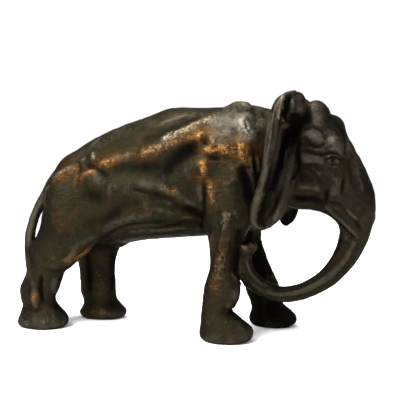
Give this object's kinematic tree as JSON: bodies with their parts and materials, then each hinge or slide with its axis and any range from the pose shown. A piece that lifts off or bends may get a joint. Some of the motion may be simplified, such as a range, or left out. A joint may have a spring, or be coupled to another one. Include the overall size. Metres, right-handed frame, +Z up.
{
  "type": "bronze elephant sculpture",
  "caption": "Cast bronze figure of a standing elephant, head hanging, trunk curled back under the jaw, ears flared, dark patina with copper rubs.",
  "frame": {"origin": "centre of the bounding box in X and Y, at the level of the foot soles", "axes": "+X towards the elephant's forehead, +Y towards its left side, +Z up"},
  "size_m": [0.2758, 0.1012, 0.1796],
  "materials": {
    "patinated_bronze": "dark olive-brown patinated bronze, satin-gloss, rubbed to copper on the high forms"
  },
  "bodies": {
    "root": {"elephant": "patinated_bronze"}
  },
  "joints": []
}
